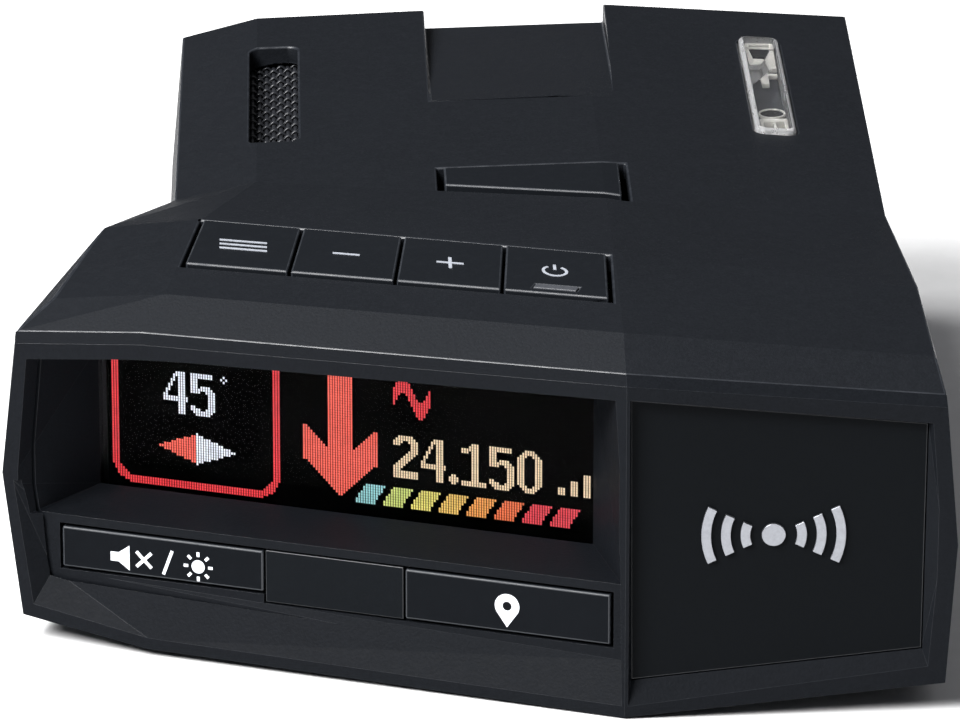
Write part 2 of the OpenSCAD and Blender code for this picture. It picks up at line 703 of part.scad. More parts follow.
module case_screws() placed() color([0.35, 0.35, 0.37])
    for (p = case_posts) difference() {
        union() {
            rod([p[0], p[1], 2.6], head_r, 1.4);
            rod([p[0], p[1], 4], screw_r - hair, 18);
        }
        for (turn = [0, 90]) translate([p[0], p[1], 2.5]) rotate([0, 0, turn])
            box([-1.3, -0.25, 0], [1.3, 0.25, 0.9]);
    }

module rating_plate() placed() color([0.82, 0.82, 0.8])
    box([-23.8, 62.2, 0.2], [9.8, 91.8, 0.5]);

top_cover();
bottom_cover();
front_bezel();
trim_panel();
emblem();
display_window();
display_panel();
display_frame();
display_ribbon();
menu_key();
minus_key();
plus_key();
power_key();
power_light_pipe();
top_key_switches();
top_key_board();
mute_key();
mark_key();
centre_insert();
face_key_switches();
face_key_board();
release_button();
release_latch();
release_spring();
bracket_guide();
speaker_grille();
speaker_frame();
speaker_cone();
speaker_magnet();
top_laser_lens();
top_laser_sensor();
front_laser_lens();
front_laser_sensor();
main_board();
board_chips();
rf_shield();
front_horn();
rear_horn();
gps_antenna();
power_socket();
audio_socket();
usb_socket();
status_buzzer();
board_screws();
case_screws();
rating_plate();
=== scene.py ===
"""Radar detector: looks, key symbols, display, grille, spring, lens, studio and camera around the frame."""

import math

import bmesh
import bpy
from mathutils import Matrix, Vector


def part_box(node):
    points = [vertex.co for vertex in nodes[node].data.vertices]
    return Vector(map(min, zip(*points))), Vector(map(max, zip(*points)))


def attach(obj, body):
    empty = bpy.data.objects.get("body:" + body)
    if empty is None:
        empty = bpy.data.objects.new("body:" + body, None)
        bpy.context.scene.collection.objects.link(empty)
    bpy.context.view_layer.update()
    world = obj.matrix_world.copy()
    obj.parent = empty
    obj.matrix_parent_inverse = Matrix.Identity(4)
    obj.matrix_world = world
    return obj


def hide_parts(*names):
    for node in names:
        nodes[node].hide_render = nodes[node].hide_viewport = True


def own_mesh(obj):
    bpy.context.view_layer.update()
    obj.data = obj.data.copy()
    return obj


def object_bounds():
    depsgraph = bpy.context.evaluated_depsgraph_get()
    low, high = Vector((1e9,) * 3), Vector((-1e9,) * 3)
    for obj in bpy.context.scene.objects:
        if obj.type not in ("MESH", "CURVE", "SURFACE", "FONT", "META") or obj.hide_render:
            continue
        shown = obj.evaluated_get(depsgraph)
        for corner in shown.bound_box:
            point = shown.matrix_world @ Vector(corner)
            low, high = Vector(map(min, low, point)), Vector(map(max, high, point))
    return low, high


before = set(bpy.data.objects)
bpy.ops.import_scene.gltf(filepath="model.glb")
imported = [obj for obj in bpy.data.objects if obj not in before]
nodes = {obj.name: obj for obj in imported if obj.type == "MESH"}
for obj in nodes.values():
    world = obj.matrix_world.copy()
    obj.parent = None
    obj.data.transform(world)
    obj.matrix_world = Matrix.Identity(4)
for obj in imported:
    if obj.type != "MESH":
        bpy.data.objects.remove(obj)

MM = 0.001
cad_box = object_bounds()

# ---- the face: its corner is the ridge line, and the display side turns away from square
SKEW = math.radians(20.4)
HEAD_LEFT = 57.7 * MM
RIDGE = Vector((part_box("front_bezel")[0].x + HEAD_LEFT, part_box("front_bezel")[0].y, 0.0))
ALONG = Vector((math.cos(SKEW), -math.sin(SKEW), 0.0))
INTO = Vector((math.sin(SKEW), math.cos(SKEW), 0.0))
UP = Vector((0.0, 0.0, 1.0))


def on_face(x, depth, z):
    """A point of the display side: x along the face, depth into the body, z up, all in millimetres."""
    return RIDGE + ALONG * (x * MM) + INTO * (depth * MM) + UP * (z * MM)


# ================================================================ node materials

def new_material(name):
    material = bpy.data.materials.new(name)
    material.use_nodes = True
    tree = material.node_tree
    return material, tree, tree.nodes["Principled BSDF"]


def link(tree, out, into):
    tree.links.new(out, into)


def noise(tree, scale, detail=4.0, roughness=0.55, stretch=(1, 1, 1)):
    """Noise in object space; scale is in features per metre."""
    where = tree.nodes.new("ShaderNodeTexCoord")
    mapping = tree.nodes.new("ShaderNodeMapping")
    mapping.inputs["Scale"].default_value = stretch
    link(tree, where.outputs["Object"], mapping.inputs["Vector"])
    node = tree.nodes.new("ShaderNodeTexNoise")
    node.inputs["Scale"].default_value = scale
    node.inputs["Detail"].default_value = detail
    node.inputs["Roughness"].default_value = roughness
    link(tree, mapping.outputs["Vector"], node.inputs["Vector"])
    return node.outputs["Fac"]


def ramp(tree, value, low, high, low_colour, high_colour):
    node = tree.nodes.new("ShaderNodeValToRGB")
    node.color_ramp.elements[0].position = low
    node.color_ramp.elements[1].position = high
    node.color_ramp.elements[0].color = (*low_colour, 1)
    node.color_ramp.elements[1].color = (*high_colour, 1)
    link(tree, value, node.inputs["Fac"])
    return node.outputs["Color"]


def spread(tree, value, low, high):
    """Maps a noise value onto low..high."""
    node = tree.nodes.new("ShaderNodeMapRange")
    node.inputs["From Min"].default_value = 0.3
    node.inputs["From Max"].default_value = 0.7
    node.inputs["To Min"].default_value = low
    node.inputs["To Max"].default_value = high
    link(tree, value, node.inputs["Value"])
    return node.outputs["Result"]


def mix(tree, factor, a, b):
    node = tree.nodes.new("ShaderNodeMix")
    node.data_type = "RGBA"
    for socket, value in ((node.inputs[6], a), (node.inputs[7], b)):
        if isinstance(value, tuple):
            socket.default_value = (*value, 1)
        else:
            link(tree, value, socket)
    link(tree, factor, node.inputs[0])
    return node.outputs[2]


def bump(tree, heights, shader):
    """Adds bumps one on another: heights is a list of (value, strength, distance in metres)."""
    normal = None
    for value, strength, distance in heights:
        node = tree.nodes.new("ShaderNodeBump")
        node.inputs["Strength"].default_value = strength
        node.inputs["Distance"].default_value = distance
        link(tree, value, node.inputs["Height"])
        if normal is not None:
            link(tree, normal, node.inputs["Normal"])
        normal = node.outputs["Normal"]
    link(tree, normal, shader.inputs["Normal"])


def shade(colour, by):
    return tuple(c * by for c in colour)


def moulded(name, colour, rough=0.5, grain=0.00005, grain_size=0.28, contrast=0.12, specular=0.11):
    """Moulded plastic: spark-eroded grain, faint flow clouds, and specks where the grain is rubbed."""
    material, tree, shader = new_material(name)
    fine = noise(tree, 1 / (grain_size * MM), 3.0, 0.6)
    clouds = noise(tree, 55, 3.0)
    rubbed = noise(tree, 900, 5.0, 0.7)
    base = ramp(tree, fine, 0.36, 0.66, shade(colour, 1 - contrast), shade(colour, 1 + 1.6 * contrast))
    tinted = mix(tree, spread(tree, clouds, 0.0, 0.35), base, shade(colour, 1.25))
    worn = mix(tree, spread(tree, rubbed, -0.25, 0.25), tinted, shade(colour, 1.5))
    link(tree, worn, shader.inputs["Base Color"])
    link(tree, spread(tree, rubbed, rough - 0.05, rough + 0.06), shader.inputs["Roughness"])
    shader.inputs["Specular IOR Level"].default_value = specular
    bump(tree, [(fine, 0.6, grain), (clouds, 0.15, grain)], shader)
    return material


def worn_and_highlighted_edges(name, colour, rough=0.32):
    """The same plastic along its edges, lighter than its faces: partly where handling has polished the
    grain away, partly a painted highlight along the rounded edges.
    """
    material, tree, shader = new_material(name)
    patches = noise(tree, 700, 4.0)
    tone = ramp(tree, patches, 0.3, 0.7, shade(colour, 0.95), shade(colour, 1.5))
    link(tree, tone, shader.inputs["Base Color"])
    link(tree, spread(tree, patches, rough - 0.05, rough + 0.12), shader.inputs["Roughness"])
    bump(tree, [(patches, 0.25, 0.00002)], shader)
    return material


def metal(name, colour, rough=0.3):
    """Plain metal with fine scratches and a few duller stains."""
    material, tree, shader = new_material(name)
    lines = noise(tree, 2500, 4.0, 0.7)
    stains = noise(tree, 120, 3.0)
    tone = ramp(tree, lines, 0.3, 0.7, shade(colour, 0.8), shade(colour, 1.1))
    stained = mix(tree, spread(tree, stains, 0.0, 0.3), tone, shade(colour, 0.7))
    link(tree, stained, shader.inputs["Base Color"])
    link(tree, spread(tree, lines, rough - 0.08, rough + 0.1), shader.inputs["Roughness"])
    shader.inputs["Metallic"].default_value = 1.0
    bump(tree, [(lines, 0.4, 0.00001)], shader)
    return material


def clear(name, tint, rough=0.02, ior=1.49, haze=(0.0, 0.06), weight=1.0, specular=0.5):
    """Clear or tinted plastic with light haze and fine scuffs on its surface."""
    material, tree, shader = new_material(name)
    scuffs = noise(tree, 1500, 5.0, 0.7, (1, 0.15, 1))
    dust = noise(tree, 300, 4.0)
    link(tree, ramp(tree, dust, 0.35, 0.7, tint, shade(tint, 0.93)), shader.inputs["Base Color"])
    link(tree, spread(tree, scuffs, rough + haze[0], rough + haze[1]), shader.inputs["Roughness"])
    shader.inputs["Transmission Weight"].default_value = weight
    shader.inputs["IOR"].default_value = ior
    shader.inputs["Specular IOR Level"].default_value = specular
    bump(tree, [(scuffs, 0.08, 0.00001)], shader)
    return material


def lit(name, colour, strength):
    """A display dot: a lit colour with slight unevenness from dot to dot."""
    material, tree, shader = new_material(name)
    dots = noise(tree, 1300, 2.0)
    link(tree, ramp(tree, dots, 0.3, 0.7, shade(colour, 0.78), colour), shader.inputs["Emission Color"])
    shader.inputs["Emission Strength"].default_value = strength
    shader.inputs["Base Color"].default_value = (*shade(colour, 0.1), 1)
    link(tree, spread(tree, dots, 0.4, 0.6), shader.inputs["Roughness"])
    return material


def printed(name, colour, strength=0.0):
    """Ink pressed on a key, a little uneven and worn thin in places."""
    material, tree, shader = new_material(name)
    thin = noise(tree, 2600, 4.0, 0.65)
    worn = ramp(tree, thin, 0.25, 0.6, shade(colour, 0.7), colour)
    link(tree, worn, shader.inputs["Base Color"])
    link(tree, spread(tree, thin, 0.4, 0.6), shader.inputs["Roughness"])
    if strength:
        link(tree, worn, shader.inputs["Emission Color"])
        shader.inputs["Emission Strength"].default_value = strength
    bump(tree, [(thin, 0.2, 0.00001)], shader)
    return material


CASING = (0.0072, 0.0083, 0.0105)
KEYCAP = (0.0066, 0.0077, 0.0096)
M = {
    "casing": moulded("casing_plastic", CASING),
    "bezel": moulded("bezel_plastic", shade(CASING, 0.8), 0.5, 0.00005, 0.28, 0.12, 0.045),
    # the edge materials are lighter copies of their plastic: worn edges plus a painted highlight along
    # every rounded edge
    "casing_edge": worn_and_highlighted_edges("casing_edges", shade(CASING, 1.6)),
    "keycap": moulded("keycap_plastic", KEYCAP, 0.42, 0.00002, 0.2, 0.06, 0.07),
    "face_key": moulded("face_key_plastic", shade(KEYCAP, 0.75), 0.42, 0.00002, 0.2, 0.06, 0.02),
    "keycap_edge": worn_and_highlighted_edges("keycap_edges", shade(KEYCAP, 2.0), 0.42),
    "trim": moulded("trim_plastic", (0.0036, 0.0043, 0.0052), 0.42, 0.00002, 0.3, 0.08, 0.03),
    "trim_edge": worn_and_highlighted_edges("trim_edges", (0.009, 0.010, 0.012)),
    "insert": moulded("insert_plastic", (0.0050, 0.0060, 0.0074), 0.46, 0.00003, 0.22, 0.08, 0.03),
    "badge": metal("badge_silver", (0.36, 0.37, 0.40), 0.42),
    "window": clear("window_tint", (0.86, 0.86, 0.88), 0.0, 1.05, (0.0, 0.01), 1.0, 0.1),
    "display": moulded("display_glass", (0.0004, 0.0004, 0.0005), 0.3, 0.000004, 0.5, 0.1, 0.01),
    "clear_lens": clear("lens_clear", (0.97, 0.975, 0.98), ior=1.15, weight=0.985),
    # the cover's walls and rounded edges are half white: a painted highlight for the light rim of the clear
    # cover
    "lens_wall": clear("lens_wall_painted_highlight", (0.80, 0.80, 0.81), 0.22, 1.3, (0.0, 0.2), 0.72),
    "reflector": moulded("reflector_white", (0.62, 0.60, 0.56), 0.4, 0.00001, 0.4, 0.06, 0.4),
    "lens_floor": moulded("lens_floor", (0.022, 0.025, 0.032), 0.45, 0.00002, 0.3, 0.1, 0.3),
    "dark_lens": clear("lens_dark", (0.03, 0.022, 0.026)),
    "light_pipe": moulded("light_pipe_plastic", (0.05, 0.053, 0.06), 0.3, 0.00001, 0.4, 0.1, 0.3),
    "bright_metal": metal("plated_steel", (0.62, 0.62, 0.64)),
    "dark_metal": metal("black_oxide", (0.06, 0.06, 0.065), 0.4),
    "board": moulded("solder_mask", (0.012, 0.085, 0.035), 0.3, 0.00001, 0.8, 0.15),
    "component": moulded("epoxy", (0.012, 0.012, 0.014), 0.5, 0.00002, 0.2, 0.1),
    "switch": moulded("switch_plastic", (0.50, 0.49, 0.45), 0.45, 0.00002, 0.3, 0.08),
    "ribbon": moulded("ribbon_film", (0.48, 0.22, 0.04), 0.25, 0.000005, 0.6, 0.1),
    "latch": moulded("acetal", (0.58, 0.58, 0.55), 0.35, 0.00001, 0.5, 0.05),
    "grille": moulded("grille_mesh", (0.014, 0.015, 0.018), 0.3, 0.00002, 0.2, 0.15, 0.5),
    "speaker_metal": metal("speaker_metal", (0.12, 0.12, 0.13), 0.4),
    "speaker_paper": moulded("cone_paper", (0.012, 0.012, 0.013), 0.85, 0.00004, 0.25, 0.25),
    "ceramic": moulded("ceramic", (0.48, 0.42, 0.31), 0.55, 0.00002, 0.3, 0.08),
    "label": moulded("label_film", (0.50, 0.50, 0.48), 0.4, 0.00001, 0.9, 0.04),
    "ink": printed("key_ink", (0.34, 0.36, 0.40)),
    "glow_ink": printed("lit_key_ink", (0.80, 0.83, 0.88), 0.35),
}

FINISH = {
    "casing": ["top_cover", "bottom_cover", "bracket_guide"],
    "bezel": ["front_bezel"],
    "keycap": ["menu_key", "minus_key", "plus_key", "power_key", "release_button"],
    "face_key": ["mute_key", "mark_key"],
    "trim": ["trim_panel"],
    "insert": ["centre_insert"],
    "badge": ["emblem"],
    "window": ["display_window"],
    "display": ["display_panel"],
    "clear_lens": ["top_laser_lens"],
    "light_pipe": ["power_light_pipe"],
    "dark_lens": ["front_laser_lens"],
    "bright_metal": ["rf_shield", "usb_socket", "board_screws", "release_spring",
                     "front_horn", "rear_horn"],
    "dark_metal": ["case_screws", "display_frame"],
    "board": ["main_board", "top_key_board", "face_key_board"],
    "component": ["board_chips", "top_laser_sensor", "front_laser_sensor", "status_buzzer",
                  "power_socket", "audio_socket"],
    "switch": ["top_key_switches", "face_key_switches"],
    "ribbon": ["display_ribbon"],
    "latch": ["release_latch"],
    "grille": ["speaker_grille"],
    "speaker_metal": ["speaker_frame", "speaker_magnet"],
    "speaker_paper": ["speaker_cone"],
    "ceramic": ["gps_antenna"],
    "label": ["rating_plate"],
}
# each finish's lighter edge material, worn and carrying a painted highlight, goes on the bevels
EDGE_FINISH = {"casing": "casing_edge", "bezel": "casing_edge", "keycap": "keycap_edge",
               "face_key": "keycap_edge", "trim": "trim_edge", "insert": "trim_edge"}
# in millimetres; the keys share one radius
EDGE_RADIUS = {"top_cover": 0.22, "bottom_cover": 0.4, "front_bezel": 0.3, "trim_panel": 0.12,
               "centre_insert": 0.08, "emblem": 0.06, "power_light_pipe": 0.08, "main_board": 0.1,
               "power_socket": 0.2, "audio_socket": 0.2}
KEY_EDGE_RADIUS = 0.2
FREE_BEVEL = ["top_cover", "menu_key", "minus_key", "plus_key", "power_key", "mute_key", "mark_key",
              "release_button", "centre_insert"]
# edges flatter than this stay as they are; the deck's facets are left crisp
FLATTEST_EDGE = 6
FLATTEST_DECK_EDGE = 20


def round_edges(obj, radius, edge_slot, flattest, free):
    """Joins the shading splits, clears flat triangles away, then rounds the edges sharper than an angle.

    A free bevel keeps its width past tiny edges. The bezel has slivers that it would tear."""
    weld = obj.modifiers.new("weld", "WELD")
    weld.merge_threshold = 0.03 * MM
    flat = obj.modifiers.new("flat", "DECIMATE")
    flat.decimate_type = "DISSOLVE"
    flat.angle_limit = math.radians(0.4)
    bevel = obj.modifiers.new("bevel", "BEVEL")
    bevel.width = radius * MM
    bevel.segments = 3
    bevel.limit_method = "ANGLE"
    bevel.angle_limit = math.radians(flattest)
    bevel.harden_normals = True
    bevel.use_clamp_overlap = not free
    if edge_slot is not None:
        bevel.material = edge_slot


def dress(name, finish):
    """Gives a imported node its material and, where it has one, its edge radius and edge material."""
    node = nodes[name]
    node.data.materials.clear()
    node.data.materials.append(M[finish])
    edge = EDGE_FINISH.get(finish)
    if edge:
        node.data.materials.append(M[edge])
    radius = EDGE_RADIUS.get(name, KEY_EDGE_RADIUS if finish in ("keycap", "face_key") else 0)
    flattest = FLATTEST_DECK_EDGE if name == "top_cover" else FLATTEST_EDGE
    if radius:
        round_edges(node, radius, 1 if edge else None, flattest, name in FREE_BEVEL)


for finish, names in FINISH.items():
    for name in names:
        dress(name, finish)


# ================================================================ mesh helpers

def piece(name, mesh, material, body="casing"):
    obj = bpy.data.objects.new(name, mesh)
    bpy.context.scene.collection.objects.link(obj)
    for m in material if isinstance(material, list) else [material]:
        obj.data.materials.append(m)
    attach(obj, body)
    return obj


def finish_mesh(bm, name, smooth=False):
    bmesh.ops.recalc_face_normals(bm, faces=bm.faces)
    mesh = bpy.data.meshes.new(name)
    bm.to_mesh(mesh)
    bm.free()
    for polygon in mesh.polygons:
        polygon.use_smooth = smooth
    return mesh


def add_prism(bm, outline, high, low):
    """A closed prism between two functions of a 2D point that give its upper and lower points in space."""
    top = [bm.verts.new(high(p)) for p in outline]
    bottom = [bm.verts.new(low(p)) for p in outline]
    bm.faces.new(top)
    bm.faces.new(list(reversed(bottom)))
    count = len(outline)
    for i in range(count):
        bm.faces.new((top[i], bottom[i], bottom[(i + 1) % count], top[(i + 1) % count]))


def add_tube(bm, points, half_width, half_height, sides=8):
    """A closed tube of oval section along some points."""
    rings = []
    for i, p in enumerate(points):
        forward = (points[min(i + 1, len(points) - 1)] - points[max(i - 1, 0)]).normalized()
        side = forward.cross(UP).normalized()
        up = side.cross(forward).normalized()
        rings.append([bm.verts.new(p + side * (half_width * math.cos(t)) + up * (half_height * math.sin(t)))
                      for t in (2 * math.pi * k / sides for k in range(sides))])
    for r0, r1 in zip(rings, rings[1:]):
        for k in range(sides):
            bm.faces.new((r0[k], r0[(k + 1) % sides], r1[(k + 1) % sides], r1[k]))
    bm.faces.new(rings[0])
    bm.faces.new(rings[-1][::-1])


def arc(centre, radius, start, end, steps=16):
    """Points of an arc, in degrees."""
    return [(centre[0] + radius * math.cos(math.radians(start + (end - start) * i / steps)),
             centre[1] + radius * math.sin(math.radians(start + (end - start) * i / steps)))
            for i in range(steps + 1)]


def stroke(points, width):
    """The outline of a line of even width along some points."""
    left, right = [], []
    for i, p in enumerate(points):
        a = Vector(points[max(i - 1, 0)])
        b = Vector(points[min(i + 1, len(points) - 1)])
        side = (b - a).normalized().orthogonal() * (width / 2)
        left.append(tuple(Vector(p) + side))
        right.append(tuple(Vector(p) - side))
    return left + right[::-1]


def bar(x, y, width, height):
    return [(x - width / 2, y - height / 2), (x + width / 2, y - height / 2),
            (x + width / 2, y + height / 2), (x - width / 2, y + height / 2)]


def disc(centre, radius, steps=20):
    return arc(centre, radius, 0, 360, steps)[:-1]


# ================================================================ symbols on the keys

def menu_symbol():
    return [bar(0, y, 4.8, 0.36) for y in (-1.0, 0, 1.0)]


def minus_symbol():
    return [bar(0, 0, 2.7, 0.34)]


def plus_symbol():
    return [bar(0, 0, 2.7, 0.34), bar(0, 0.75, 0.34, 1.15), bar(0, -0.75, 0.34, 1.15)]


def power_symbol():
    return [stroke(arc((0, 0), 1.15, 125, 415, 24), 0.3), bar(0, 0.95, 0.3, 1.2)]


def mute_symbol():
    """A speaker with a stroke through it, then a small sun for the brightness."""
    horn = [(-5.2, -0.45), (-4.4, -0.45), (-3.3, -1.25), (-3.3, 1.25), (-4.4, 0.45), (-5.2, 0.45)]
    slash = [stroke([(-2.6, 0.75), (-1.1, -0.75)], 0.32), stroke([(-2.6, -0.75), (-1.95, -0.1)], 0.32),
             stroke([(-1.75, 0.1), (-1.1, 0.75)], 0.32)]
    divider = stroke([(0.1, -1.2), (1.0, 1.25)], 0.3)
    rays = []
    for k in range(8):
        turn = math.radians(45 * k)
        rays.append(stroke([(3.6 + 1.0 * math.cos(turn), 1.0 * math.sin(turn)),
                            (3.6 + 1.45 * math.cos(turn), 1.45 * math.sin(turn))], 0.28))
    return [horn, *slash, divider, disc((3.6, 0), 0.66), *rays]


def mark_symbol():
    """A map pin: a ring that runs down to a point."""
    centre = (0, 0.45)
    outer = arc(centre, 1.2, -35, 215, 24)
    inner = arc(centre, 0.45, -35, 215, 24)
    ring = [[outer[i], outer[i + 1], inner[i + 1], inner[i]] for i in range(24)]
    tail = [outer[0], *arc(centre, 0.45, -35, -145, 8), outer[-1], (0, -1.65)]
    return ring + [tail]


def surface_under(node, point, direction):
    """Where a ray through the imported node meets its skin."""
    hit, where, _, _ = nodes[node].ray_cast(point - direction * 0.05, direction)
    if not hit:
        raise RuntimeError(f"no surface of {node} under {point}")
    return where


SYMBOL_HEIGHT = 0.05 * MM


def symbol(name, node, body, shapes, origin, right, up, direction, ink):
    """Presses flat shapes onto a node's skin. right and up are their axes, direction is into the skin."""
    bm = bmesh.new()

    def skin(p):
        at = origin + right * (p[0] * MM) + up * (p[1] * MM)
        return surface_under(node, at, direction)

    for outline in shapes:
        add_prism(bm, outline, lambda p: skin(p) - direction * SYMBOL_HEIGHT,
                  lambda p: skin(p) + direction * SYMBOL_HEIGHT)
    return piece(name, finish_mesh(bm, name), M[ink], body)


def middle(node):
    low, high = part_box(node)
    return (low + high) / 2


DOWN = Vector((0, 0, -1))
# the way along the row of top keys, which is slanted in plan
ROW_RIGHT = Vector((39.6, -14.7, 0)).normalized()
ROW_BACK = Vector((0.0, 1.0, 0.0))


def key_centre(node):
    """The middle of a key in plan, at the height of its cap."""
    low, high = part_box(node)
    return Vector(((low.x + high.x) / 2, (low.y + high.y) / 2, high.z))


# name, shapes, and how far the symbol sits in front of the key's middle
for name, shapes, forward in (("menu", menu_symbol(), 0.1), ("minus", minus_symbol(), 0.1),
                              ("plus", plus_symbol(), 0.1), ("power", power_symbol(), 0.0)):
    at = key_centre(name + "_key") - ROW_BACK * (forward * MM)
    symbol(name + "_symbol", name + "_key", name + "_button", shapes, at, ROW_RIGHT, ROW_BACK, DOWN, "ink")

for name, shapes in (("mute", mute_symbol()), ("mark", mark_symbol())):
    at = middle(name + "_key") + UP * (0.1 * MM)
    symbol(name + "_symbol", name + "_key", name + "_button", shapes, at, ALONG, UP, INTO, "glow_ink")


# ================================================================ the dot-matrix picture

# in millimetres on the display side; the picture lies in the gap between the window and the panel
PITCH = 0.25
COLUMNS = 196
ROWS = 64
PICTURE_LEFT = -55.2
PICTURE_BOTTOM = 12.6
WINDOW_DEPTH = 9
WINDOW_THICK = 1.2
PICTURE_DEPTH = WINDOW_DEPTH + WINDOW_THICK + 0.05
DOT_WIDE = 0.17
DOT_TALL = 0.225

# each digit is a list of (row of dots, how many times it repeats), from the top down
DIGITS = {
    "0": [("...####...", 1), ("..######..", 1), (".###..###.", 1), ("###....###", 11), (".###..###.", 1),
          ("..######..", 1), ("...####...", 1)],
    "1": [("....###...", 1), ("...####...", 1), ("#######...", 1), ("###.###...", 1), ("....###...", 11),
          ("##########", 2)],
    "2": [("..######..", 1), (".########.", 1), ("####..####", 1), ("###....###", 1), (".......###", 2),
          ("......####", 1), (".....####.", 1), ("....####..", 1), ("...####...", 1), ("..####....", 1),
          (".####.....", 1), ("####......", 1), ("###.......", 1), ("##########", 3)],
    "4": [(".....####.", 1), ("....#####.", 1), ("....#.###.", 1), ("...##.###.", 1), ("...#..###.", 1),
          ("..##..###.", 1), ("..#...###.", 1), (".##...###.", 1), (".#....###.", 1), ("##....###.", 1),
          ("##########", 2), ("......###.", 5)],
    "5": [("#########.", 2), ("###.......", 3), ("###.####..", 1), ("#########.", 1), ("####..####", 1),
          (".......###", 5), ("##.....###", 1), ("####..####", 1), (".########.", 1), ("..######..", 1)],
    ".": [("....", 13), (".##.", 1), ("####", 2), (".##.", 1)],
}
dots = {}


def dot(column, row, colour):
    """Lights one dot; rows count up from the bottom."""
    if 0 <= column < COLUMNS and 0 <= row < ROWS:
        dots[(column, row)] = colour


def write(text, column, top, colour):
    for character in text:
        lines = [bits for bits, count in DIGITS[character] for _ in range(count)]
        for down, bits in enumerate(lines):
            for i, bit in enumerate(bits):
                if bit == "#":
                    dot(column + i, top - down, colour)
        column += len(lines[0]) + 1


def rounded_box(left, right, bottom, corner, thick, colour):
    """An open-topped box outline with round lower corners."""
    def inside(column, row, grow):
        x = min(column - left, right - column) - grow
        y = row - bottom - grow
        r = corner - grow
        return x >= 0 and y >= 0 and (x >= r or y >= r or math.hypot(r - x, r - y) <= r + 0.4)

    for column in range(left, right + 1):
        for row in range(bottom, ROWS):
            if inside(column, row, 0) and not inside(column, row, thick):
                dot(column, row, colour)


def arrow(centre, tip, shaft, wing, slope, thick, colour):
    """A heavy arrow pointing down."""
    for column in range(math.ceil(centre - wing), math.floor(centre + wing) + 1):
        off = abs(column - centre)
        low = tip + round(off * slope)
        high = ROWS - 1 if off <= shaft else low + thick
        for row in range(low, high + 1):
            dot(column, row, colour)


def needle(centre, row, half, tall):
    """A compass needle lying across: its left half is salmon and its right half white."""
    for column in range(-half, half + 1):
        reach = round(tall * (1 - abs(column) / half))
        for k in range(-reach, reach + 1):
            dot(centre + column, row + k, "salmon" if column < 0 else "white")


def wave(column, row, length, reach, colour):
    """One period of a heavy wave, for the band."""
    for i in range(length):
        level = round(reach * math.sin(2 * math.pi * i / (length - 1)))
        for k in range(-3, 4):
            dot(column + i, row + level + k, colour)


def signal_bars(column, bottom, step, colours):
    for k, colour in enumerate(colours):
        for row in range(8):
            for i in range(8):
                dot(column + k * step + i + row * 5 // 8, bottom + row, colour)


def level_steps(column, bottom, colour):
    """Three rising bars in the place of a unit."""
    for k, tall in enumerate((3, 6, 9)):
        for i in range(3):
            for row in range(tall):
                dot(column + k * 5 + i, bottom + row, colour)


def draw_picture():
    rounded_box(3, 70, 2, 9, 3, "red")
    write("45", 24, 48, "white")
    for column, row in ((47, 47), (48, 48), (49, 47), (48, 46)):
        dot(column, row, "white")
    needle(37, 18, 15, 5.5)
    arrow(94.5, 7, 5, 15, 0.93, 13, "salmon")
    wave(116, 49, 15, 5, "red")
    write("24.150", 116, 33, "cream")
    level_steps(181, 18, "cream")
    signal_bars(101, 5, 11, ["teal", "lime", "yellow", "amber", "orange", "flame", "crimson", "crimson"])


LIGHTS = {
    "red": ((0.75, 0.045, 0.055), 1.5),
    "salmon": ((0.86, 0.12, 0.085), 1.6),
    "white": ((0.80, 0.84, 0.92), 1.5),
    "cream": ((0.86, 0.66, 0.42), 1.4),
    "teal": ((0.30, 0.62, 0.62), 1.3),
    "lime": ((0.62, 0.70, 0.20), 1.3),
    "yellow": ((0.82, 0.72, 0.18), 1.3),
    "amber": ((0.86, 0.55, 0.14), 1.3),
    "orange": ((0.88, 0.36, 0.09), 1.3),
    "flame": ((0.85, 0.18, 0.07), 1.3),
    "crimson": ((0.72, 0.06, 0.08), 1.4),
}


def picture():
    draw_picture()
    colours = sorted(set(dots.values()))
    bm = bmesh.new()
    for (column, row), colour in sorted(dots.items()):
        x = PICTURE_LEFT + (column + 0.5) * PITCH
        z = PICTURE_BOTTOM + (row + 0.5) * PITCH
        corners = [(x - DOT_WIDE / 2, z - DOT_TALL / 2), (x + DOT_WIDE / 2, z - DOT_TALL / 2),
                   (x + DOT_WIDE / 2, z + DOT_TALL / 2), (x - DOT_WIDE / 2, z + DOT_TALL / 2)]
        face = bm.faces.new([bm.verts.new(on_face(a, PICTURE_DEPTH, b)) for a, b in corners])
        face.material_index = colours.index(colour)
    mesh = bpy.data.meshes.new("display_dots")
    bm.to_mesh(mesh)
    bm.free()
    lights = [lit("dots_" + c, *LIGHTS[c]) for c in colours]
    return piece("display_dots", mesh, lights)


picture()


# ================================================================ woven grille

